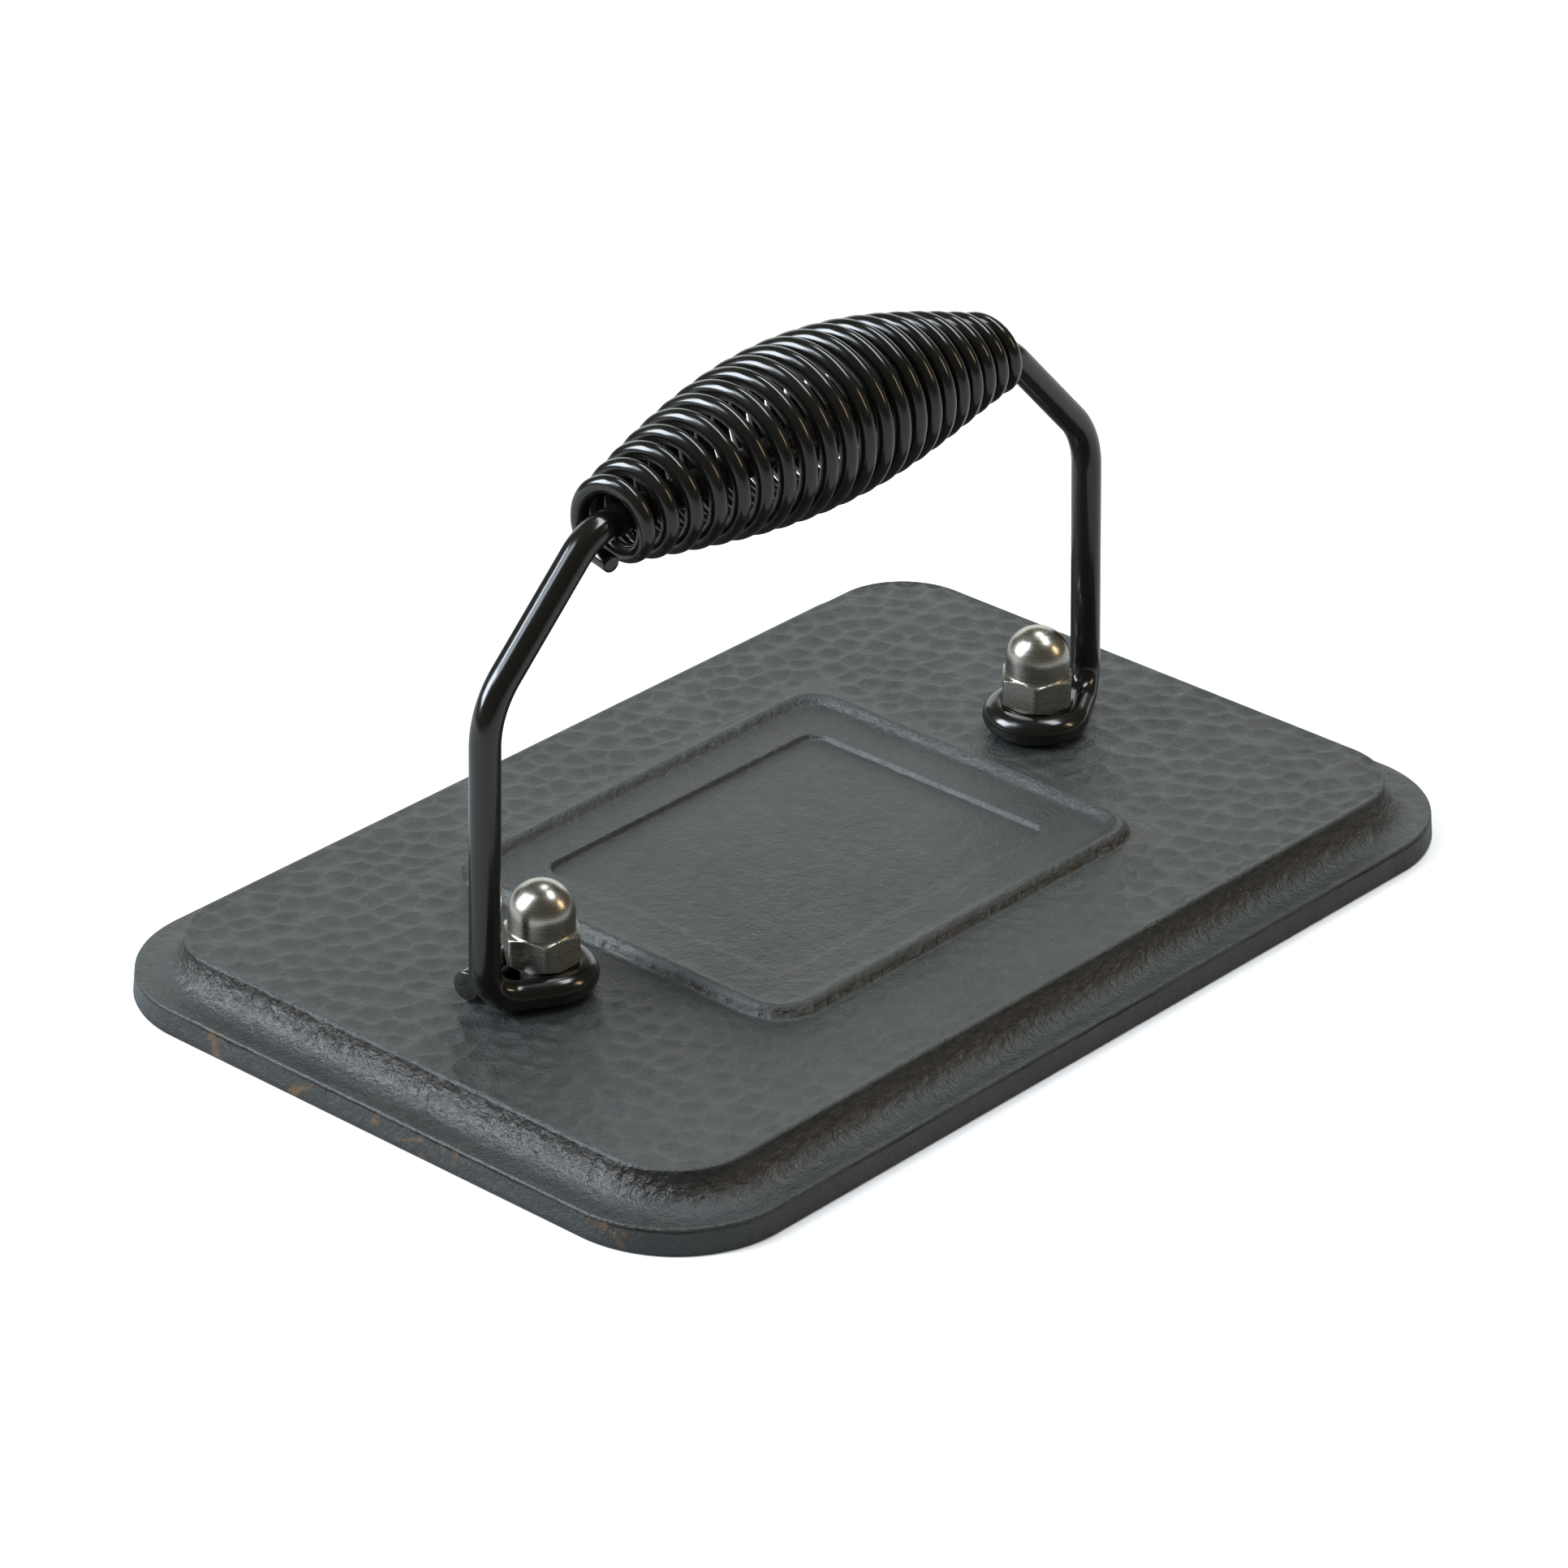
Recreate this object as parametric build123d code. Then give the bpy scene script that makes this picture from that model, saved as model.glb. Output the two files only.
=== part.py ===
from build123d import *
from math import asin, cos, degrees, dist, pi, radians, sin, sqrt, tan
import os

# Grill press: a flat cast plate with a wire handle and a loose barrel-shaped coil grip.
# Millimetres, +Z up. The origin is the middle of the cooking face, +X runs along the handle.

# Plate
plate_length = 171.5
plate_width = 114.0
plate_thickness = 9.0
plate_corner_radius = 18.5
rim_height = 4.1
rim_draft = 4.0
field_inset = 7.0
field_corner_radius = 11.8
cove_radius = plate_thickness - rim_height - 0.2
field_edge_round = 0.3
cooking_edge_round = 0.4

# Raised bead, the low panel that it frames, and the shallow recess in the panel
bead_length = 78.6
bead_breadth = 65.2
bead_corner_radius = 7.4
bead_width = 3.8
bead_height = 1.6
bead_round = 1.1
panel_rise = 0.5
recess_length = 57.5
recess_breadth = 45.5
recess_corner_radius = 3.0
recess_depth = 0.7

# Studs, tapped holes and cap nuts, all for one thread size
thread_diameter = 6.0
thread_clearance = 0.1
stud_offset = 52.2
hole_depth = 5.5
nut_across_flats = 10.0
nut_total_height = 12.0
nut_hex_height = 5.0
nut_face_height = 0.4
nut_face_diameter = 9.5
nut_dome_diameter = 9.4
nut_thread_depth = 8.0
nut_chamfer_angle = 30.0
nut_turn = {"left": -9.8, "right": -20.7}
stud_engagement = 7.0

# Handle rod
rod_diameter = 4.4
eye_radius = 5.7
eye_tail_angle = 96.0
eye_tail_length = 9.6
leg_foot_offset = 63.4
shoulder_offset = {"left": 62.7, "right": 61.8}
shoulder_height = {"left": 55.0, "right": 53.0}
foot_bend_radius = 5.0
run_height = 73.5
run_half_length = 42.5
run_slope = 0.015
lower_bend_radius = 13.0
upper_bend_radius = 9.0
seat_gap = 0.02

# Coil grip: its end rings are centred on the axis, its middle is arched a little above it
wire_diameter = 2.6
coil_axis_height = run_height + 0.2
coil_start = -40.0
coil_pitch = 3.8
coil_turns = 20.9
coil_end_radius = 4.8
coil_swell = 6.4
coil_swell_power = 1.1
coil_arch = 2.0
coil_start_angle = -85.0
steps_per_turn = 2


def unit(v):
    return v * (1.0 / v.length)


def rounded_slab(length, breadth, corner, height, base, taper=0.0):
    outline = Plane.XY.offset(base) * RectangleRounded(length, breadth, corner)
    return extrude(outline, height, taper=taper)


def press_plate():
    """Slab with a drafted rim, a cove, a bead round a low panel, a recess and two blind holes."""
    slab = rounded_slab(plate_length, plate_width, plate_corner_radius, rim_height, 0, rim_draft)
    slab = chamfer(slab.faces().sort_by(Axis.Z)[0].edges(), cooking_edge_round)
    field = rounded_slab(
        plate_length - 2 * field_inset,
        plate_width - 2 * field_inset,
        field_corner_radius,
        plate_thickness - rim_height,
        rim_height,
    )
    body = slab + field
    foot = [
        e
        for e in body.edges().filter_by_position(Axis.Z, rim_height - 0.01, rim_height + 0.01)
        if abs(e.center().X) < plate_length / 2 - field_inset + 1
        and abs(e.center().Y) < plate_width / 2 - field_inset + 1
    ]
    body = fillet(foot, cove_radius)
    body = fillet(body.faces().sort_by(Axis.Z)[-1].edges(), field_edge_round)
    outer = rounded_slab(bead_length, bead_breadth, bead_corner_radius, bead_height, plate_thickness)
    inner = rounded_slab(
        bead_length - 2 * bead_width,
        bead_breadth - 2 * bead_width,
        bead_corner_radius - bead_width,
        bead_height,
        plate_thickness,
    )
    bead = outer - inner
    bead = fillet(bead.faces().sort_by(Axis.Z)[-1].edges(), bead_round)
    panel = rounded_slab(
        bead_length - bead_width,
        bead_breadth - bead_width,
        bead_corner_radius - bead_width / 2,
        panel_rise,
        plate_thickness,
    )
    body = body + bead + panel
    body = body - rounded_slab(
        recess_length,
        recess_breadth,
        recess_corner_radius,
        recess_depth,
        plate_thickness + panel_rise - recess_depth,
    )
    for side in (-1, 1):
        hole = Cylinder(
            (thread_diameter + thread_clearance) / 2,
            hole_depth,
            align=(Align.CENTER, Align.CENTER, Align.MIN),
        )
        body = body - Pos(side * stud_offset, 0, plate_thickness - hole_depth) * hole
    return body


def eye_height():
    """Height of the rod's centre line where it lies on the plate."""
    return plate_thickness + seat_gap + rod_diameter / 2


def nut_seat_height():
    """Height at which the nut's round face meets the top of the eye."""
    reach = eye_radius - nut_face_diameter / 2
    return eye_height() + sqrt((rod_diameter / 2) ** 2 - reach**2) + seat_gap


def stud(side):
    bottom = plate_thickness - hole_depth
    top = nut_seat_height() + stud_engagement
    body = Cylinder(thread_diameter / 2, top - bottom, align=(Align.CENTER, Align.CENTER, Align.MIN))
    body = chamfer(body.edges(), thread_diameter / 10)
    return Pos(side * stud_offset, 0, bottom) * body


def cap_nut(side, turn):
    """Hexagon with a turned face below and a dome above, bored from below for the stud."""
    corner_radius = nut_across_flats / 2 / cos(radians(30))
    flat_radius = nut_across_flats / 2
    dome_radius = nut_dome_diameter / 2
    drop = (corner_radius - flat_radius) * tan(radians(nut_chamfer_angle))
    hexagon = extrude(
        RegularPolygon(corner_radius, 6), nut_hex_height - nut_face_height
    )
    hexagon = Pos(0, 0, nut_face_height) * hexagon
    outline = make_face(
        Polyline(
            (0, nut_face_height),
            (corner_radius - drop, nut_face_height),
            (corner_radius, nut_face_height + drop * tan(radians(nut_chamfer_angle))),
            (corner_radius, nut_hex_height - drop),
            (flat_radius, nut_hex_height),
            (0, nut_hex_height),
            close=True,
        )
    )
    turned = revolve(Plane.XZ * outline, Axis.Z)
    body = hexagon & turned
    face = Cylinder(
        nut_face_diameter / 2, nut_hex_height, align=(Align.CENTER, Align.CENTER, Align.MIN)
    )
    dome = Cylinder(
        dome_radius, nut_total_height - dome_radius, align=(Align.CENTER, Align.CENTER, Align.MIN)
    )
    ball = Pos(0, 0, nut_total_height - dome_radius) * Sphere(dome_radius)
    bore = Cylinder(
        (thread_diameter + thread_clearance) / 2,
        nut_thread_depth,
        align=(Align.CENTER, Align.CENTER, Align.MIN),
    )
    body = body + face + dome + ball - bore
    return Pos(side * stud_offset, 0, nut_seat_height()) * Rot(0, 0, turn) * body


def arc_between(start, corner, end):
    """Arc from start to end, tangent to the two lines that meet at the corner."""
    spread = (end - start).length / (corner - start).length
    middle = (start + corner * spread + end) * (1 / (2 + spread))
    return ThreePointArc(start, middle, end)


def bend(before, corner, after, radius):
    """Arc of the given radius in the corner between two straight runs, and its two ends."""
    inward = unit(corner - before)
    outward = unit(after - corner)
    cut = radius * tan(radians(inward.get_angle(outward)) / 2)
    start = corner - inward * cut
    end = corner + outward * cut
    return arc_between(start, corner, end), start, end


def handle_half(name, side):
    """Centre line of one side, drawn on the left, from the eye's cut end to the middle of the run."""
    low = eye_height()
    centre = Vector(-stud_offset, 0, low)

    def on_eye(angle):
        return centre + Vector(cos(radians(angle)), sin(radians(angle)), 0) * eye_radius

    def eye_arc(first, last):
        return ThreePointArc(on_eye(first), on_eye((first + last) / 2), on_eye(last))

    lean = degrees(asin(eye_radius / (leg_foot_offset - stud_offset)))
    entry_angle = 270 - lean
    exit_angle = 360 + eye_tail_angle
    half_way = (entry_angle + exit_angle) / 2
    tail_turn = radians(eye_tail_angle)
    tail_end = on_eye(exit_angle) + Vector(-sin(tail_turn), cos(tail_turn), 0) * eye_tail_length
    entry = on_eye(entry_angle)
    foot = Vector(-leg_foot_offset, 0, low)
    shoulder = Vector(-shoulder_offset[name], 0, shoulder_height[name])
    crest = Vector(-run_half_length, 0, run_height - side * run_slope * run_half_length)
    middle = Vector(0, 0, run_height)
    foot_arc, foot_start, foot_end = bend(entry, foot, shoulder, foot_bend_radius)
    lower_arc, lower_start, lower_end = bend(foot, shoulder, crest, lower_bend_radius)
    upper_arc, upper_start, upper_end = bend(shoulder, crest, middle, upper_bend_radius)
    return [
        Line(tail_end, on_eye(exit_angle)),
        eye_arc(exit_angle, half_way),
        eye_arc(half_way, entry_angle),
        Line(entry, foot_start),
        foot_arc,
        Line(foot_end, lower_start),
        lower_arc,
        Line(lower_end, upper_start),
        upper_arc,
        Line(upper_end, middle),
    ]


def tube(path, diameter):
    """Round bar of the given diameter along a path of tangent lines and arcs."""
    section = Plane(path @ 0, z_dir=path % 0) * Circle(diameter / 2)
    return sweep(section, path=path)


def handle_bar():
    """One bent rod; its straight run falls a little towards the right."""
    left = handle_half("left", -1)
    right = [edge.mirror(Plane.YZ) for edge in handle_half("right", 1)]
    return tube(Wire(left + right[::-1]), rod_diameter)


def coil_point(turn):
    """Point of the coil's centre line after so many turns, and the tangent there."""

    def point(t):
        u = min(1.0, abs(2 * t / coil_turns - 1))
        radius = coil_end_radius + coil_swell * cos(pi * u / 2) ** coil_swell_power
        angle = radians(coil_start_angle + 360 * t)
        x = coil_start + coil_pitch * t
        height = coil_axis_height - run_slope * x + coil_arch * (1 - u * u)
        return Vector(x, radius * cos(angle), height + radius * sin(angle))

    step = 1e-3
    first = max(0.0, turn - step)
    last = min(coil_turns, turn + step)
    return point(turn), unit(point(last) - point(first))


def biarc(start, start_tangent, end, end_tangent):
    """Two arcs that leave start and reach end along the given tangents."""
    chord = end - start
    both = start_tangent + end_tangent
    turning = 2 * (1 - start_tangent.dot(end_tangent))
    along = chord.dot(both)
    reach = (sqrt(along * along + turning * chord.dot(chord)) - along) / turning
    first_corner = start + start_tangent * reach
    second_corner = end - end_tangent * reach
    joint = (first_corner + second_corner) * 0.5
    return [arc_between(start, first_corner, joint), arc_between(joint, second_corner, end)]


def coil_edges():
    """Straight cut end, the turns in equal steps, straight cut end."""
    count = round(coil_turns * steps_per_turn)
    stations = [coil_point(k * coil_turns / count) for k in range(count + 1)]
    first, first_tangent = stations[0]
    last, last_tangent = stations[-1]
    edges = [Line(first - first_tangent * wire_diameter, first)]
    for (start, start_tangent), (end, end_tangent) in zip(stations, stations[1:]):
        edges += biarc(start, start_tangent, end, end_tangent)
    edges.append(Line(last, last + last_tangent * wire_diameter))
    return edges


def least_gap(edges, samples=24):
    """Smallest gap from the wire to itself, from half a turn to two turns further on."""
    points = []
    for edge in edges:
        for k in range(samples):
            points.append(tuple(edge @ (k / samples)))
    one_turn = 2 * steps_per_turn * samples
    best = coil_pitch
    for i, p in enumerate(points):
        for q in points[i + one_turn // 2 : i + 2 * one_turn]:
            best = min(best, dist(p, q))
    return best - wire_diameter


def coil_grip():
    edges = coil_edges()
    print("least gap of the coil to itself, mm:", round(least_gap(edges), 2))
    return tube(Wire(edges), wire_diameter)


def write(node, shape):
    shape = Compound(children=list(shape.solids())) if len(shape.solids()) > 1 else shape.solid()
    shape.label = node
    print(node, "volume mm3", round(shape.volume), "valid", shape.is_valid)
    export_step(shape, f"parts/{node}.step")


os.makedirs("parts", exist_ok=True)
write("press_plate", press_plate())
write("handle_bar", handle_bar())
write("coil_grip", coil_grip())
for name, side in (("left", -1), ("right", 1)):
    write(f"stud_{name}", stud(side))
    write(f"cap_nut_{name}", cap_nut(side, nut_turn[name]))
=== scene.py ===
from math import asin, cos, floor, hypot, pi, radians, sin, sqrt, tan

import bmesh
import bpy
from mathutils import Matrix, Vector


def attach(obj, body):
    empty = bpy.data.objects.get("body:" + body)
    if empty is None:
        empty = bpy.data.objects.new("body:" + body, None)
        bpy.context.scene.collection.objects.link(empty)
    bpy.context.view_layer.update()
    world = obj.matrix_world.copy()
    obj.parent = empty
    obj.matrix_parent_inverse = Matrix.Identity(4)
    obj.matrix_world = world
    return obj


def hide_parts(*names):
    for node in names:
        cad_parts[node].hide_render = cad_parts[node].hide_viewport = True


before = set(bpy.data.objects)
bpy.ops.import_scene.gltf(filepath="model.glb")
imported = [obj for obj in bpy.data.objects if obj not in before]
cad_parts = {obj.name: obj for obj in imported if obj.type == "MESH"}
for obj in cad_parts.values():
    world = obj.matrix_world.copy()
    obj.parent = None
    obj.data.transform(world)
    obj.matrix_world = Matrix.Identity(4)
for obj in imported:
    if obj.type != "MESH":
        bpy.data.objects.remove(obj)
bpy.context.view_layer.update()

MM = 0.001

# Plate, in millimetres, a hair smaller than the solid so that nothing passes its box
PLATE_LENGTH = 171.4
PLATE_WIDTH = 113.9
PLATE_THICKNESS = 9.0
PLATE_CORNER = 18.4
RIM_FOOT = 0.45
RIM_HEIGHT = 4.1
RIM_DRAFT = 0.28
RIM_EDGE = 0.35
FIELD_INSET = 7.0
FIELD_CORNER = 11.8
FIELD_SINK = 0.02
FIELD_TOP = PLATE_THICKNESS - FIELD_SINK
FIELD_EDGE = 0.35
COVE_RADIUS = 4.7
COVE_START = FIELD_INSET - COVE_RADIUS
LEDGE_SUPPORT = 0.7
BEAD_LENGTH = 78.6
BEAD_BREADTH = 65.2
BEAD_CORNER = 7.4
BEAD_WIDTH = 3.8
BEAD_HEIGHT = 1.6
BEAD_FULLNESS = 1.3
PANEL_RISE = 0.5
RECESS_LENGTH = 57.5
RECESS_BREADTH = 45.5
RECESS_CORNER = 3.0
RECESS_DEPTH = 0.7
RECESS_SLOPE = 0.7
RECESS_CORNER_SHARE = 0.6
RECESS_MIDDLE = 0.2

# Inset and height of the loops from the cooking face to the foot of the rim
SOLE_EDGE = ((12.0, 0.0), (0.5, 0.0), (0.15, 0.12), (0.0, RIM_FOOT))

# Outlines as length, breadth and corner radius
PLATE_OUTLINE = (PLATE_LENGTH, PLATE_WIDTH, PLATE_CORNER)
FIELD_OUTLINE = (PLATE_LENGTH - 2 * FIELD_INSET, PLATE_WIDTH - 2 * FIELD_INSET, FIELD_CORNER)
BEAD_OUTLINE = (BEAD_LENGTH, BEAD_BREADTH, BEAD_CORNER)
RECESS_OUTLINE = (RECESS_LENGTH, RECESS_BREADTH, RECESS_CORNER)

# Dimples: one bowl for each cell, larger or smaller by the cell's own bias, with a ridge between
DIMPLE_PITCH = 4.4
DIMPLE_DEPTH = 0.34
DIMPLE_JITTER = 0.30
DIMPLE_REACH = 0.56
DIMPLE_LEAST = 0.55
DIMPLE_SPAN = 0.9
DIMPLE_BIAS = 0.3
RIDGE_WIDTH = 1.6
RIDGE_SHARE = 0.45

# The dimples fade in over these distances from the bead, from the field's edge and from a stud
BEAD_FADE = (0.2, 3.5)
EDGE_FADE = (0.0, 1.6)
SEAT_FADE = (7.0, 11.0)
SEAT_SHARE = 0.25

# Cap nuts; the rings of the hexagon are given as inset and distance from its lower or upper end
STUD_OFFSET = 52.2
NUT_FLATS = 10.0
NUT_HEIGHT = 12.0
NUT_HEX_HEIGHT = 5.0
NUT_CHAMFER_ANGLE = 30.0
NUT_CORNER_SOFTENING = 0.12
NUT_CORNER_REACH = 3.0
NUT_FACE_HEIGHT = 0.4
NUT_FACE_DIAMETER = 9.5
NUT_FACE_EDGE = 0.1
NUT_DOME_DIAMETER = 9.4
NUT_BORE = 6.1
NUT_BORE_EDGE = 0.3
NUT_THREAD_DEPTH = 8.0
NUT_DRILL_POINT = 1.0
NUT_LOWER_RINGS = ((0.05, 0.0), (0.0, 0.06), (0.0, 0.2))
NUT_UPPER_RINGS = ((0.0, 0.21), (0.0, 0.07), (0.02, 0.02), (0.07, 0.0))
NUT_LOWER_SUPPORT = 0.05
NUT_UPPER_SUPPORT = 0.12
NUT_FILLET_WIDTH = 0.06
NUT_FILLET_HEIGHT = 0.07
NUT_SHARP_ANGLE = 28.0
NUT_TURN = {"left": -9.8, "right": -20.7}

# Handle rod
ROD_DIAMETER = 4.4
EYE_RADIUS = 5.7
EYE_TAIL_ANGLE = 96.0
EYE_TAIL_LENGTH = 9.6
LEG_OFFSET = 63.4
SHOULDER_OFFSET = {"left": 62.7, "right": 61.8}
SHOULDER_HEIGHT = {"left": 55.0, "right": 53.0}
FOOT_BEND = 5.0
RUN_HEIGHT = 73.5
RUN_HALF = 42.5
RUN_SLOPE = 0.015
LOWER_BEND = 13.0
UPPER_BEND = 9.0
SEAT_GAP = 0.02
ROD_STEP = 0.5

# Cut ends of rod and wire
CUT_ROUND = 0.3
CUT_CLEAR = 0.36

# Coil grip
WIRE_DIAMETER = 2.58
COIL_AXIS_HEIGHT = RUN_HEIGHT + 0.2
COIL_START = -40.0
COIL_PITCH = 3.8
COIL_TURNS = 20.9
COIL_END_RADIUS = 4.8
COIL_SWELL = 6.4
COIL_SWELL_POWER = 1.1
COIL_ARCH = 2.0
COIL_START_ANGLE = -85.0
COIL_END_SHARES = (0.25, 0.5, 0.75, 1.0)

# Fineness of the meshes
PLATE_AROUND = 1300
FIELD_ROWS = 84
ROD_AROUND = 48
WIRE_AROUND = 24
COIL_PER_TURN = 96
NUT_AROUND = 180
RIM_STEPS = 5
EDGE_STEPS = 4
FIELD_EDGE_STEPS = 3
COVE_STEPS = 16
BEAD_STEPS = 16
PANEL_STEPS = 6
WALL_STEPS = 8
BOTTOM_STEPS = 12
NECK_STEPS = 6
DOME_STEPS = 24
LONG_SIDE_PERCENT = 30
CORNER_PERCENT = 5
LEAST_CORNER = 0.05
LEAST_STRAIGHT = 0.02

# Camera, fitted to the plate's outline
CAMERA_AZIMUTH = -48.376
CAMERA_ELEVATION = 27.905
CAMERA_ROLL = 0.601
CAMERA_DISTANCE = 0.98037
CAMERA_RIGHT = -0.00185
CAMERA_UP = 0.01752
CAMERA_LENS = 158.68
SENSOR_WIDTH = 36.0
CLIP_NEAR = 0.05
CLIP_FAR = 50

# Studio, in metres
FLOOR_HALF = 4.0
FLOOR_TO_CAMERA = 0.92
FLOOR_IN_REFLECTIONS = 0.40
WORLD_COLOUR = (0.80, 0.84, 0.88, 1.0)
WORLD_STRENGTH = 0.60
WORLD_RAYS = (
    ("Is Glossy Ray", (1.0, 0.92, 0.70, 1.0), 0.10),
    ("Is Camera Ray", (1.0, 1.0, 1.0, 1.0), 1.0),
)
LIGHT_TARGET = (0, 0, 0.03)

# Lights: name, direction from the target, distance, width, height, watts and colour
LIGHTS = (
    ("key_left", (-0.63, 0.59, 0.50), 1.1, 0.5, 0.6, 19.0, (0.84, 0.91, 1.0)),
    ("back_panel", (0.66, 0.587, 0.20), 1.5, 1.9, 0.7, 5.8, (0.93, 1.0, 0.98)),
    ("high_left", (-0.55, 0.26, 0.78), 1.1, 0.32, 0.42, 3.4, (0.80, 0.89, 1.0)),
    ("overhead_strip", (0.35, -0.07, 0.93), 1.0, 0.9, 0.22, 7.0, (0.92, 0.96, 1.0)),
    ("warm_right", (0.50, -0.72, 0.45), 1.1, 0.12, 0.4, 1.6, (1.0, 0.76, 0.48)),
)

# Sockets of the colour mix node
MIX_FACTOR = 0
MIX_FIRST = 6
MIX_SECOND = 7
MIX_RESULT = 2


def hash01(i, j, seed):
    """Repeatable number from 0 to 1 for a cell of a grid."""
    value = sin(i * 127.1 + j * 311.7 + seed * 74.7) * 43758.5453
    return value - floor(value)


def smooth(low, high, value):
    """Soft step from 0 at the low value to 1 at the high one."""
    t = min(1.0, max(0.0, (value - low) / (high - low)))
    return t * t * (3 - 2 * t)


def grey(value):
    return (value, value, value)


def mesh_object(name, points, faces, smooth_shading=True):
    """Object in the scene, made from points in millimetres."""
    mesh = bpy.data.meshes.new(name)
    mesh.from_pydata([tuple(c * MM for c in p) for p in points], [], faces)
    mesh.update()
    obj = bpy.data.objects.new(name, mesh)
    bpy.context.scene.collection.objects.link(obj)
    bm = bmesh.new()
    bm.from_mesh(mesh)
    bmesh.ops.recalc_face_normals(bm, faces=bm.faces)
    bm.to_mesh(mesh)
    bm.free()
    if smooth_shading:
        mesh.shade_smooth()
    return obj


def loft_faces(rings, around):
    """Quads between neighbouring rings of points."""
    faces = []
    for r in range(rings - 1):
        for k in range(around):
            a, b = r * around + k, r * around + (k + 1) % around
            faces.append((a, b, b + around, a + around))
    return faces


def cap_faces(rings, around):
    """One flat face inside the first ring and one inside the last."""
    last = (rings - 1) * around
    return [tuple(range(around - 1, -1, -1)), tuple(range(last, last + around))]


def rounded_loop(length, breadth, corner, count):
    """Points round a rounded rectangle, spread so that loops of one count line up."""
    corner = max(LEAST_CORNER, min(corner, length / 2 - LEAST_STRAIGHT, breadth / 2 - LEAST_STRAIGHT))
    arc = count * CORNER_PERCENT // 100
    straight_x = count * LONG_SIDE_PERCENT // 100
    straight_y = count // 2 - straight_x - 2 * arc
    half_x, half_y = length / 2 - corner, breadth / 2 - corner
    points = []
    for side in range(2):
        turn = side * pi
        c, s = cos(turn), sin(turn)
        local = []
        for k in range(straight_x):
            local.append((half_x - 2 * half_x * k / straight_x, half_y + corner))
        for k in range(arc):
            a = pi / 2 + pi / 2 * k / arc
            local.append((-half_x + corner * cos(a), half_y + corner * sin(a)))
        for k in range(straight_y):
            local.append((-half_x - corner, half_y - 2 * half_y * k / straight_y))
        for k in range(arc):
            a = pi + pi / 2 * k / arc
            local.append((-half_x + corner * cos(a), -half_y + corner * sin(a)))
        points += [(x * c - y * s, x * s + y * c) for x, y in local]
    return points


def inset(outline, offset, corner_share=1.0):
    """An outline moved inwards, with its corner radius cut by a share of the offset."""
    length, breadth, corner = outline
    return length - 2 * offset, breadth - 2 * offset, corner - offset * corner_share


def between(first, second, t):
    """Outline part of the way from one outline to another."""
    return tuple(a + (b - a) * t for a, b in zip(first, second))


def dimple_drop(x, y):
    """Depth below the field of a hammered surface: one shallow bowl for each jittered cell."""
    row_pitch = DIMPLE_PITCH * sqrt(3) / 2
    row = round(y / row_pitch)
    nearest, second = 1e9, 1e9
    for j in range(row - 2, row + 3):
        shift = 0.5 * (j % 2)
        column = round(x / DIMPLE_PITCH - shift)
        for i in range(column - 2, column + 3):
            cx = (i + shift + DIMPLE_JITTER * (2 * hash01(i, j, 1) - 1)) * DIMPLE_PITCH
            cy = (j + DIMPLE_JITTER * (2 * hash01(i, j, 2) - 1)) * row_pitch
            size = DIMPLE_LEAST + DIMPLE_SPAN * hash01(i, j, 3)
            value = hypot(x - cx, y - cy) + (1 - size) * DIMPLE_BIAS
            if value < nearest:
                nearest, second = value, nearest
            elif value < second:
                second = value
    bowl = min(1.0, (nearest / (DIMPLE_PITCH * DIMPLE_REACH)) ** 2)
    edge = smooth(0.0, RIDGE_WIDTH, second - nearest)
    return DIMPLE_DEPTH * (1 - bowl) * (RIDGE_SHARE + (1 - RIDGE_SHARE) * edge)


def field_height(x, y):
    """Height of the hammered field, smooth beside the bead and nearly so under the eyes."""
    length, breadth, _ = FIELD_OUTLINE
    outside_bead = max(abs(x) - BEAD_LENGTH / 2, abs(y) - BEAD_BREADTH / 2)
    from_edge = min(length / 2 - abs(x), breadth / 2 - abs(y))
    fade = smooth(*BEAD_FADE, outside_bead) * smooth(*EDGE_FADE, from_edge)
    seat = smooth(*SEAT_FADE, hypot(abs(x) - STUD_OFFSET, y))
    fade *= SEAT_SHARE + (1 - SEAT_SHARE) * seat
    return FIELD_TOP - dimple_drop(x, y) * fade


def rim_loops():
    """Cooking face, its rounded edge, the drafted rim and the ledge up to the cove."""
    loops = [(inset(PLATE_OUTLINE, offset), height) for offset, height in SOLE_EDGE]
    straight = RIM_HEIGHT - RIM_EDGE - RIM_FOOT
    for k in range(1, RIM_STEPS):
        outline = inset(PLATE_OUTLINE, RIM_DRAFT * k / RIM_STEPS)
        loops.append((outline, RIM_FOOT + straight * k / RIM_STEPS))
    for k in range(EDGE_STEPS + 1):
        a = pi / 2 * k / EDGE_STEPS
        outline = inset(PLATE_OUTLINE, RIM_DRAFT + RIM_EDGE * (1 - cos(a)))
        loops.append((outline, RIM_HEIGHT - RIM_EDGE * (1 - sin(a))))
    loops.append((inset(PLATE_OUTLINE, COVE_START - LEDGE_SUPPORT), RIM_HEIGHT))
    return loops


def cove_loops():
    """Hollow quarter round from the ledge up to the field, with corners that tighten on the way."""
    loops = []
    for k in range(COVE_STEPS + 1):
        a = pi / 2 * k / COVE_STEPS
        t = k / COVE_STEPS
        length, breadth, _ = inset(PLATE_OUTLINE, COVE_START + COVE_RADIUS * sin(a))
        corner = (PLATE_CORNER - COVE_START) * (1 - t) + FIELD_CORNER * t
        loops.append(((length, breadth, corner), RIM_HEIGHT + COVE_RADIUS * (1 - cos(a))))
    return loops


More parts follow.
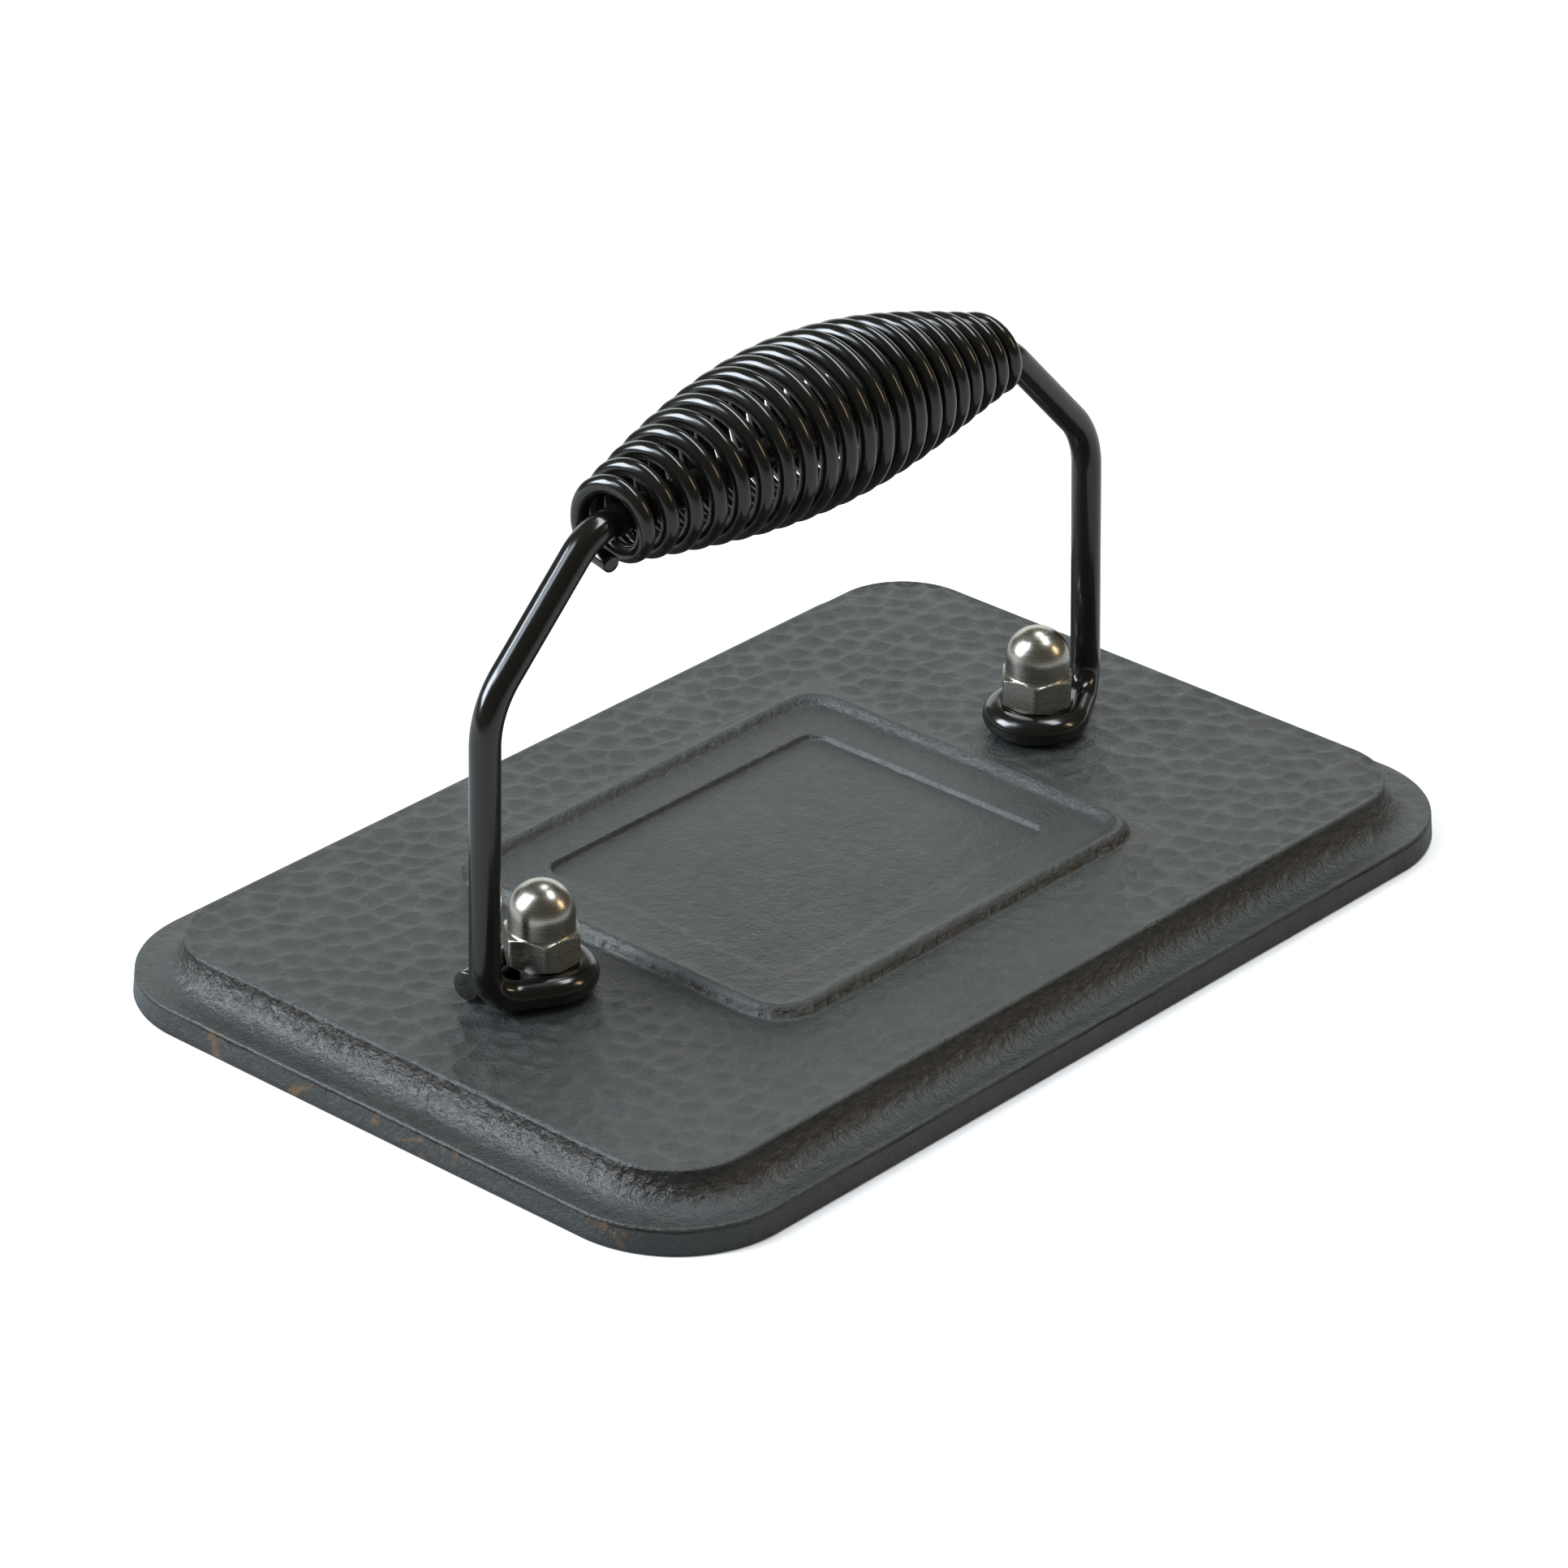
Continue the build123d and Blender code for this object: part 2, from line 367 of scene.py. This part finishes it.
def field_loops():
    """The field's rounded edge, then rows over the dimples up to the bead."""
    loops = []
    for k in range(1, FIELD_EDGE_STEPS + 1):
        a = pi / 2 * k / FIELD_EDGE_STEPS
        outline = inset(FIELD_OUTLINE, FIELD_EDGE * (1 - cos(a)))
        loops.append((outline, FIELD_TOP - FIELD_EDGE * (1 - sin(a))))
    flat = inset(FIELD_OUTLINE, FIELD_EDGE)
    for k in range(1, FIELD_ROWS + 1):
        loops.append((between(flat, BEAD_OUTLINE, k / FIELD_ROWS), field_height))
    return loops


def bead_loops():
    """Round bar whose inner side comes down on the panel, which is higher than the field."""
    loops = []
    for k in range(1, BEAD_STEPS + 1):
        t = k / BEAD_STEPS
        rise = PANEL_RISE if t >= 0.5 else 0.0
        height = FIELD_TOP + (BEAD_HEIGHT - rise) * sin(pi * t) ** BEAD_FULLNESS + rise
        loops.append((inset(BEAD_OUTLINE, BEAD_WIDTH * t), height))
    return loops


def recess_loops():
    """The panel inside the bead, the recess's sloped wall and its bare bottom."""
    panel = inset(BEAD_OUTLINE, BEAD_WIDTH)
    panel_top = FIELD_TOP + PANEL_RISE
    loops = []
    for k in range(1, PANEL_STEPS + 1):
        loops.append((between(panel, RECESS_OUTLINE, k / PANEL_STEPS), panel_top))
    for k in range(1, WALL_STEPS + 1):
        t = k / WALL_STEPS
        outline = inset(RECESS_OUTLINE, RECESS_SLOPE * t, RECESS_CORNER_SHARE)
        loops.append((outline, panel_top - RECESS_DEPTH * smooth(0, 1, t)))
    bottom = inset(RECESS_OUTLINE, RECESS_SLOPE, RECESS_CORNER_SHARE)
    reach = bottom[1] / 2 - RECESS_MIDDLE
    for k in range(1, BOTTOM_STEPS + 1):
        loops.append((inset(bottom, reach * k / BOTTOM_STEPS, 0.0), panel_top - RECESS_DEPTH))
    return loops


def plate_mesh():
    """The casting as loops from the cooking face, over rim and cove, to the recess."""
    loops = rim_loops() + cove_loops() + field_loops() + bead_loops() + recess_loops()
    points = []
    for outline, height in loops:
        for x, y in rounded_loop(*outline, PLATE_AROUND):
            points.append((x, y, height(x, y) if callable(height) else height))
    faces = loft_faces(len(loops), PLATE_AROUND) + cap_faces(len(loops), PLATE_AROUND)
    return mesh_object("plate_casting", points, faces)


def frames_along(points):
    """Tangent and a steady cross direction at each point of a path."""
    tangents = []
    for k in range(len(points)):
        before, after = points[max(0, k - 1)], points[min(len(points) - 1, k + 1)]
        tangents.append((after - before).normalized())
    normal = tangents[0].orthogonal().normalized()
    normals = [normal]
    for k in range(1, len(points)):
        turn = tangents[k - 1].rotation_difference(tangents[k])
        normal = (turn @ normal).normalized()
        normal = (normal - tangents[k] * normal.dot(tangents[k])).normalized()
        normals.append(normal)
    return tangents, normals


def tube_mesh(name, points, radius, around):
    """Closed round bar along a path, with slightly rounded cut ends."""
    tangents, normals = frames_along(points)
    last = len(points) - 1

    def cut_ring(end, inwards, a):
        along = CUT_ROUND * (1 - cos(a)) * inwards
        return points[end] + tangents[end] * along, end, radius - CUT_ROUND * (1 - sin(a))

    rounding = [pi / 2 * k / EDGE_STEPS for k in range(EDGE_STEPS)]
    rings = [cut_ring(0, 1, a) for a in rounding]
    for k in range(1, last):
        from_cut = min((points[k] - points[0]).length, (points[last] - points[k]).length)
        if from_cut > CUT_CLEAR:
            rings.append((points[k], k, radius))
    rings += [cut_ring(last, -1, a) for a in reversed(rounding)]
    ring_points = []
    for centre, k, ring_radius in rings:
        side = tangents[k].cross(normals[k])
        for m in range(around):
            a = 2 * pi * m / around
            ring_points.append(centre + (normals[k] * cos(a) + side * sin(a)) * ring_radius)
    faces = loft_faces(len(rings), around) + cap_faces(len(rings), around)
    return mesh_object(name, [tuple(p) for p in ring_points], faces)


def line_points(start, end, step):
    """Even points from the start of a line to just short of its end."""
    count = max(1, round((end - start).length / step))
    return [start + (end - start) * (k / count) for k in range(count)]


def bend_points(before, corner, after, radius, step):
    """Round the corner between two straight runs; gives the arc's points, start and end."""
    into = (corner - before).normalized()
    out = (after - corner).normalized()
    angle = into.angle(out)
    cut = radius * tan(angle / 2)
    start, end = corner - into * cut, corner + out * cut
    across = (out - into * out.dot(into)).normalized()
    count = max(4, round(radius * angle / step))
    arc = []
    for k in range(count + 1):
        a = angle * k / count
        arc.append(start + into * (radius * sin(a)) + across * (radius * (1 - cos(a))))
    return arc, start, end


def eye_height():
    """Height of the rod's centre line where it lies on the field."""
    return PLATE_THICKNESS + SEAT_GAP + ROD_DIAMETER / 2


def handle_half(name, side, step):
    """Centre line of one side, drawn on the left, from the eye's cut end to the middle of the run."""
    low = eye_height()
    centre = Vector((-STUD_OFFSET, 0, low))

    def on_eye(a):
        return centre + Vector((cos(a), sin(a), 0)) * EYE_RADIUS

    entry_angle = 1.5 * pi - asin(EYE_RADIUS / (LEG_OFFSET - STUD_OFFSET))
    exit_angle = 2 * pi + radians(EYE_TAIL_ANGLE)
    tail = Vector((-sin(exit_angle), cos(exit_angle), 0)) * EYE_TAIL_LENGTH
    path = line_points(on_eye(exit_angle) + tail, on_eye(exit_angle), step)
    sweep = exit_angle - entry_angle
    count = round(EYE_RADIUS * sweep / step)
    path += [on_eye(exit_angle - sweep * k / count) for k in range(count)]
    entry = on_eye(entry_angle)
    foot = Vector((-LEG_OFFSET, 0, low))
    shoulder = Vector((-SHOULDER_OFFSET[name], 0, SHOULDER_HEIGHT[name]))
    crest = Vector((-RUN_HALF, 0, RUN_HEIGHT - side * RUN_SLOPE * RUN_HALF))
    middle = Vector((0, 0, RUN_HEIGHT))
    straight_from = entry
    for before, corner, after, radius in (
        (entry, foot, shoulder, FOOT_BEND),
        (foot, shoulder, crest, LOWER_BEND),
        (shoulder, crest, middle, UPPER_BEND),
    ):
        arc, start, end = bend_points(before, corner, after, radius, step)
        path += line_points(straight_from, start, step) + arc[:-1]
        straight_from = end
    return path + line_points(straight_from, middle, step)


def handle_path():
    """Centre line of the whole rod, from the left eye's cut end to the right one's."""
    left = handle_half("left", -1, ROD_STEP)
    right = handle_half("right", 1, ROD_STEP)
    return left + [Vector((0, 0, RUN_HEIGHT))] + [Vector((-p.x, p.y, p.z)) for p in reversed(right)]


def coil_path():
    """Centre line of the grip's wire: a barrel-shaped winding with short straight ends."""
    count = round(COIL_TURNS * COIL_PER_TURN)
    path = []
    for k in range(count + 1):
        turn = COIL_TURNS * k / count
        u = min(1.0, abs(2 * k / count - 1))
        radius = COIL_END_RADIUS + COIL_SWELL * max(0.0, cos(pi * u / 2)) ** COIL_SWELL_POWER
        angle = radians(COIL_START_ANGLE + 360 * turn)
        x = COIL_START + COIL_PITCH * turn
        height = COIL_AXIS_HEIGHT - RUN_SLOPE * x + COIL_ARCH * (1 - u * u)
        path.append(Vector((x, radius * cos(angle), height + radius * sin(angle))))
    start = (path[0] - path[1]).normalized()
    end = (path[-1] - path[-2]).normalized()
    head = [path[0] + start * (WIRE_DIAMETER * share) for share in reversed(COIL_END_SHARES)]
    tail = [path[-1] + end * (WIRE_DIAMETER * share) for share in COIL_END_SHARES]
    return head + path + tail


def nut_loops():
    """Cap nut from its bore, over the turned face and a softened hexagon, to the dome."""
    flat = NUT_FLATS / 2
    corner = flat / cos(pi / 6)
    chamfer = tan(radians(NUT_CHAMFER_ANGLE))
    dome = NUT_DOME_DIAMETER / 2
    face = NUT_FACE_DIAMETER / 2
    bore = NUT_BORE / 2

    def ring(radius, height):
        loop = []
        for k in range(NUT_AROUND):
            a = 2 * pi * k / NUT_AROUND
            r = radius(a) if callable(radius) else radius
            z = height(r) if callable(height) else height
            loop.append((r * cos(a), r * sin(a), z))
        return loop

    def hexagon(a):
        b = (a + pi / 6) % (pi / 3) - pi / 6
        radius = flat / cos(pi / 6 - abs(b))
        cut = NUT_CORNER_SOFTENING * max(0.0, 1 - abs(b) / radians(NUT_CORNER_REACH))
        return min(radius, corner) - cut

    def hex_ring(amount, height, slope):
        return ring(lambda a: hexagon(a) - amount, lambda r: height + max(0.0, r - flat) * slope)

    loops = [
        ring(bore, NUT_THREAD_DEPTH),
        ring(bore, NUT_BORE_EDGE),
        ring(bore + NUT_BORE_EDGE, 0.0),
        ring(face - NUT_FACE_EDGE, 0.0),
        ring(face, NUT_FACE_EDGE),
        ring(face, NUT_FACE_HEIGHT),
        ring(flat - NUT_LOWER_SUPPORT, NUT_FACE_HEIGHT),
    ]
    loops += [hex_ring(amount, NUT_FACE_HEIGHT + rise, chamfer) for amount, rise in NUT_LOWER_RINGS]
    loops += [hex_ring(amount, NUT_HEX_HEIGHT - drop, -chamfer) for amount, drop in NUT_UPPER_RINGS]
    neck = NUT_HEX_HEIGHT + NUT_FILLET_HEIGHT
    loops += [
        ring(flat - NUT_UPPER_SUPPORT, NUT_HEX_HEIGHT),
        ring(dome + NUT_FILLET_WIDTH, NUT_HEX_HEIGHT),
        ring(dome, neck),
    ]
    shoulder = NUT_HEIGHT - dome
    for k in range(1, NECK_STEPS + 1):
        loops.append(ring(dome, neck + (shoulder - neck) * k / NECK_STEPS))
    for k in range(1, DOME_STEPS):
        a = pi / 2 * k / DOME_STEPS
        loops.append(ring(dome * cos(a), shoulder + dome * sin(a)))
    return loops


def nut_mesh(name, side):
    """Cap nut closed at the dome's top and at the drill's point, seated on its eye."""
    loops = nut_loops()
    points = [p for loop in loops for p in loop]
    faces = loft_faces(len(loops), NUT_AROUND)
    apex = len(points)
    points.append((0, 0, NUT_HEIGHT))
    last = (len(loops) - 1) * NUT_AROUND
    for k in range(NUT_AROUND):
        faces.append((last + k, last + (k + 1) % NUT_AROUND, apex))
    bore_end = len(points)
    points.append((0, 0, NUT_THREAD_DEPTH + NUT_DRILL_POINT))
    for k in range(NUT_AROUND):
        faces.append(((k + 1) % NUT_AROUND, k, bore_end))
    reach = EYE_RADIUS - NUT_FACE_DIAMETER / 2
    seat = eye_height() + sqrt((ROD_DIAMETER / 2) ** 2 - reach**2) + SEAT_GAP
    turn = radians(NUT_TURN[name])
    placed = []
    for x, y, z in points:
        placed.append((
            side * STUD_OFFSET + x * cos(turn) - y * sin(turn),
            x * sin(turn) + y * cos(turn),
            seat + z,
        ))
    nut = mesh_object(f"dome_nut_{name}", placed, faces)
    nut.data.set_sharp_from_angle(angle=radians(NUT_SHARP_ANGLE))
    return nut


class Nodes:
    """Short way to write a material's node tree."""

    def __init__(self, name):
        self.material = bpy.data.materials.new(name)
        self.material.use_nodes = True
        self.tree = self.material.node_tree
        self.shader = self.tree.nodes["Principled BSDF"]
        self.coords = self.add("ShaderNodeTexCoord").outputs["Object"]

    def add(self, kind, **settings):
        node = self.tree.nodes.new(kind)
        for key, value in settings.items():
            setattr(node, key, value)
        return node

    def link(self, source, target):
        self.tree.links.new(source, target)

    def feed(self, socket, value):
        """Give a socket another node's output, a colour or a number."""
        if hasattr(value, "is_linked"):
            self.link(value, socket)
        elif isinstance(value, tuple):
            socket.default_value = (*value, 1.0)
        else:
            socket.default_value = value

    def set(self, name, value):
        self.feed(self.shader.inputs[name], value)

    def noise(self, scale, detail=4.0, roughness=0.55, distortion=0.0, stretch=None):
        node = self.add("ShaderNodeTexNoise")
        node.inputs["Scale"].default_value = scale
        node.inputs["Detail"].default_value = detail
        node.inputs["Roughness"].default_value = roughness
        node.inputs["Distortion"].default_value = distortion
        source = self.coords
        if stretch:
            mapping = self.add("ShaderNodeMapping")
            mapping.inputs["Scale"].default_value = stretch
            self.link(self.coords, mapping.inputs["Vector"])
            source = mapping.outputs["Vector"]
        self.link(source, node.inputs["Vector"])
        return node.outputs["Fac"]

    def ramp(self, value, stops):
        """Colour or grey that follows a value through stops of position and tone."""
        node = self.add("ShaderNodeValToRGB")
        ramp = node.color_ramp
        while len(ramp.elements) < len(stops):
            ramp.elements.new(0.5)
        for element, (position, tone) in zip(ramp.elements, stops):
            element.position = position
            colour = tone if isinstance(tone, tuple) else grey(tone)
            element.color = (*colour, 1.0)
        self.link(value, node.inputs["Fac"])
        return node.outputs["Color"]

    def mix(self, factor, first, second):
        node = self.add("ShaderNodeMix", data_type="RGBA", blend_type="MIX")
        self.feed(node.inputs[MIX_FACTOR], factor)
        self.feed(node.inputs[MIX_FIRST], first)
        self.feed(node.inputs[MIX_SECOND], second)
        return node.outputs[MIX_RESULT]

    def maths(self, operation, first, second=0.0):
        node = self.add("ShaderNodeMath", operation=operation)
        self.feed(node.inputs[0], first)
        self.feed(node.inputs[1], second)
        return node.outputs[0]

    def bump(self, height, strength, distance, normal=None):
        node = self.add("ShaderNodeBump")
        self.feed(node.inputs["Strength"], strength)
        node.inputs["Distance"].default_value = distance
        self.link(height, node.inputs["Height"])
        if normal:
            self.link(normal, node.inputs["Normal"])
        return node.outputs["Normal"]

    def position(self):
        node = self.add("ShaderNodeSeparateXYZ")
        self.link(self.coords, node.inputs[0])
        return node.outputs

    def past_outline(self, length, breadth, corner):
        """Distance in centimetres outside a rounded rectangle that is given in millimetres."""
        x, y, _ = self.position()
        squares = []
        for value, side in ((x, length), (y, breadth)):
            reach = self.maths("MULTIPLY", self.maths("ABSOLUTE", value), 100)
            reach = self.maths("MAXIMUM", self.maths("SUBTRACT", reach, side / 20 - corner / 10), 0.0)
            squares.append(self.maths("POWER", reach, 2.0))
        return self.maths("SUBTRACT", self.maths("SQRT", self.maths("ADD", *squares)), corner / 10)


def glossy_flanks_with_painted_shade(m, height):
    """Mask of the cove and of the bead's outer side, by height in centimetres; it paints shade on these
    flanks and makes them glossier.
    """
    past_field = m.past_outline(*FIELD_OUTLINE)
    past_bead = m.past_outline(*BEAD_OUTLINE)
    wobble = m.maths("ADD", height, m.maths("MULTIPLY", m.noise(260, 4, 0.6), 0.12))
    cove = m.ramp(wobble, [(0.52, 0.0), (0.66, 1.0), (0.90, 1.0), (0.935, 0.0)])
    bead = m.ramp(height, [(0.905, 0.0), (0.93, 1.0), (0.985, 1.0), (1.0, 0.0)])
    cove = m.maths("MULTIPLY", cove, m.maths("GREATER_THAN", past_field, -0.03))
    bead = m.maths("MULTIPLY", bead, m.maths("GREATER_THAN", past_bead, -BEAD_WIDTH / 20))
    return m.maths("MAXIMUM", cove, bead)


def seam_line(m, height):
    """Mask of the broken dark line below the rim's top edge, by height in centimetres."""
    line = m.maths("ADD", height, m.maths("MULTIPLY", m.noise(330, 4, 0.6), 0.05))
    seam = m.ramp(line, [(0.365, 0.0), (0.375, 1.0), (0.395, 1.0), (0.408, 0.0)])
    patchy = m.ramp(m.noise(60, 4, 0.6), [(0.35, 0.25), (0.6, 1.0)])
    return m.maths("MULTIPLY", seam, patchy)


def rim_rust(m, height, x):
    """Mask of rust spots on the rim, most of them at the left end."""
    low_rim = m.ramp(height, [(0.34, 1.0), (0.42, 0.0)])
    left_end = m.ramp(m.maths("MULTIPLY", x, -10), [(0.78, 0.2), (0.84, 1.0)])
    blotch = m.ramp(m.noise(120, 5, 0.65, 0.5), [(0.58, 0.0), (0.66, 1.0)])
    return m.maths("MULTIPLY", m.maths("MULTIPLY", low_rim, left_end), blotch)


def cast_iron():
    """Oiled casting: near-black skin under a pitted sheen, glossy flanks with painted shade, a dark
    seam and rust.
    """
    m = Nodes("seasoned_cast_iron")
    x, _, z = m.position()
    height = m.maths("MULTIPLY", z, 100)
    flank_shade_and_gloss = glossy_flanks_with_painted_shade(m, height)
    seam = seam_line(m, height)
    rust = rim_rust(m, height, x)
    skin = m.ramp(m.noise(55, 5, 0.6), [(0.3, (0.015, 0.018, 0.017)), (0.7, (0.024, 0.028, 0.027))])
    brown = m.ramp(m.noise(140, 5, 0.7, 0.6), [(0.54, 0.0), (0.70, 1.0)])
    skin = m.mix(m.maths("MULTIPLY", brown, 0.5), skin, (0.028, 0.022, 0.014))
    # painted shade: the cove and the bead's outer side are painted a darker brown for the shade of
    # their steep walls
    skin = m.mix(m.maths("MULTIPLY", flank_shade_and_gloss, 0.8), skin, (0.013, 0.010, 0.006))
    skin = m.mix(seam, skin, (0.005, 0.004, 0.003))
    skin = m.mix(m.maths("MULTIPLY", rust, 0.8), skin, (0.12, 0.065, 0.018))
    m.set("Base Color", skin)
    gloss = m.ramp(m.noise(420, 4, 0.6), [(0.3, 0.30), (0.7, 0.46)])
    m.set("Roughness", m.mix(flank_shade_and_gloss, gloss, grey(0.17)))
    m.set("Specular IOR Level", m.mix(seam, grey(0.60), grey(0.1)))
    grain = m.bump(m.noise(1700, 5, 0.65), 1.0, 0.00018)
    pitting = m.maths("ADD", m.maths("MULTIPLY", flank_shade_and_gloss, 0.8), 0.7)
    m.set("Normal", m.bump(m.noise(640, 4, 0.6, 0.3), pitting, 0.00048, grain))
    return m.material


def gloss_black(name, tint_scale):
    """Black gloss coating with faint orange peel and dust."""
    m = Nodes(name)
    tint = m.ramp(
        m.noise(tint_scale, 4), [(0.35, (0.0045, 0.0045, 0.0036)), (0.7, (0.0080, 0.0078, 0.0062))]
    )
    dust = m.ramp(m.noise(2600, 2, 0.5), [(0.70, 0.0), (0.78, 1.0)])
    m.set("Base Color", m.mix(m.maths("MULTIPLY", dust, 0.25), tint, (0.08, 0.08, 0.075)))
    m.set("Roughness", m.ramp(m.noise(260, 3), [(0.3, 0.14), (0.75, 0.24)]))
    m.set("Specular IOR Level", 0.5)
    m.set("Coat Weight", 0.15)
    m.set("Coat Roughness", 0.08)
    m.set("Normal", m.bump(m.noise(420, 3, 0.5), 0.12, 0.00010))
    return m.material


def stainless():
    """Turned stainless steel, with fine rings and duller marks."""
    m = Nodes("stainless_nut")
    rings = m.noise(300, 3, 0.6, 0.0, (0.15, 0.15, 16.0))
    marks = m.noise(700, 3, 0.6, 0.0, (0.3, 0.3, 8.0))
    m.set("Base Color", m.ramp(rings, [(0.3, (0.36, 0.345, 0.30)), (0.7, (0.46, 0.445, 0.39))]))
    m.set("Metallic", 1.0)
    m.set("Roughness", m.ramp(marks, [(0.3, 0.24), (0.7, 0.32)]))
    m.set("Normal", m.bump(rings, 0.10, 0.00001))
    return m.material


def stud_steel():
    """Plain steel with a fine thread drawn as relief."""
    m = Nodes("stud_steel")
    m.set("Base Color", m.ramp(m.noise(900, 3), [(0.3, (0.36, 0.36, 0.35)), (0.7, (0.50, 0.50, 0.48))]))
    m.set("Metallic", 1.0)
    m.set("Roughness", m.ramp(m.noise(400, 3), [(0.3, 0.30), (0.7, 0.42)]))
    m.set("Normal", m.bump(m.noise(500, 2, 0.5, 0.0, (0.2, 0.2, 6.0)), 0.3, 0.0001))
    return m.material


def floor_material():
    """Pale floor, darker in reflections than to the camera."""
    m = Nodes("pale_floor")
    rays = m.add("ShaderNodeLightPath").outputs
    m.set("Base Color", m.mix(rays["Is Camera Ray"], grey(FLOOR_IN_REFLECTIONS), grey(FLOOR_TO_CAMERA)))
    m.set("Roughness", 0.9)
    m.set("Specular IOR Level", 0.1)
    return m.material


def dress(obj, material, node, body):
    """Give a piece its material and its body, and hide the solid that it stands for."""
    obj.data.materials.clear()
    obj.data.materials.append(material)
    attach(obj, body)
    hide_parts(node)
    return obj


def floor_object():
    half = FLOOR_HALF / MM
    corners = [(-half, -half, 0), (half, -half, 0), (half, half, 0), (-half, half, 0)]
    floor_piece = mesh_object("studio_floor", corners, [(0, 1, 2, 3)], False)
    floor_piece.data.materials.append(floor_material())


def world_light():
    """Soft grey light all round, dim in gloss, white where the camera looks past the floor."""
    world = bpy.data.worlds.new("studio")
    bpy.context.scene.world = world
    world.use_nodes = True
    tree = world.node_tree
    path = tree.nodes.new("ShaderNodeLightPath")
    last = tree.nodes["Background"]
    last.inputs["Color"].default_value = WORLD_COLOUR
    last.inputs["Strength"].default_value = WORLD_STRENGTH
    for output, colour, strength in WORLD_RAYS:
        plain = tree.nodes.new("ShaderNodeBackground")
        plain.inputs["Color"].default_value = colour
        plain.inputs["Strength"].default_value = strength
        mixer = tree.nodes.new("ShaderNodeMixShader")
        tree.links.new(path.outputs[output], mixer.inputs["Fac"])
        tree.links.new(last.outputs[0], mixer.inputs[1])
        tree.links.new(plain.outputs[0], mixer.inputs[2])
        last = mixer
    tree.links.new(last.outputs[0], tree.nodes["World Output"].inputs["Surface"])


def area_light(name, direction, distance, width, height, power, colour):
    """Rectangular soft light that looks at the middle of the press."""
    light = bpy.data.lights.new(name, "AREA")
    light.shape = "RECTANGLE"
    light.size = width
    light.size_y = height
    light.energy = power
    light.color = colour
    obj = bpy.data.objects.new(name, light)
    towards = Vector(direction).normalized()
    obj.location = Vector(LIGHT_TARGET) + towards * distance
    obj.rotation_mode = "QUATERNION"
    obj.rotation_quaternion = towards.to_track_quat("Z", "Y")
    bpy.context.scene.collection.objects.link(obj)


def camera_object():
    """Camera that looks along the fitted direction, shifted sideways and up in its own plane."""
    azimuth, elevation, roll = (radians(v) for v in (CAMERA_AZIMUTH, CAMERA_ELEVATION, CAMERA_ROLL))
    back = Vector((sin(azimuth) * cos(elevation), -cos(azimuth) * cos(elevation), sin(elevation)))
    level = Vector((cos(azimuth), sin(azimuth), 0))
    upright = back.cross(level)
    right = level * cos(roll) + upright * sin(roll)
    up = upright * cos(roll) - level * sin(roll)
    place = back * CAMERA_DISTANCE + right * CAMERA_RIGHT + up * CAMERA_UP
    data = bpy.data.cameras.new("photo_camera")
    data.lens = CAMERA_LENS
    data.sensor_width = SENSOR_WIDTH
    data.clip_start = CLIP_NEAR
    data.clip_end = CLIP_FAR
    obj = bpy.data.objects.new("photo_camera", data)
    turn = Matrix((right, up, back)).transposed().to_4x4()
    obj.matrix_world = Matrix.Translation(place) @ turn
    bpy.context.scene.collection.objects.link(obj)
    bpy.context.scene.camera = obj


iron = cast_iron()
rod_coat = gloss_black("rod_coating", 60)
coil_coat = gloss_black("coil_coating", 110)
steel = stainless()

plate = dress(plate_mesh(), iron, "press_plate", "press")
rod = tube_mesh("bent_rod", handle_path(), ROD_DIAMETER / 2, ROD_AROUND)
dress(rod, rod_coat, "handle_bar", "press")
coil = tube_mesh("wound_grip", coil_path(), WIRE_DIAMETER / 2, WIRE_AROUND)
dress(coil, coil_coat, "coil_grip", "grip")
for nut_name, nut_side in (("left", -1), ("right", 1)):
    nut = dress(nut_mesh(nut_name, nut_side), steel, f"cap_nut_{nut_name}", "press")
stud_material = stud_steel()
for node_name, node_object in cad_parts.items():
    if node_name.startswith("stud_"):
        node_object.data.materials.clear()
        node_object.data.materials.append(stud_material)

floor_object()
world_light()
for light_values in LIGHTS:
    area_light(*light_values)
camera_object()
bpy.context.scene.view_settings.view_transform = "Standard"
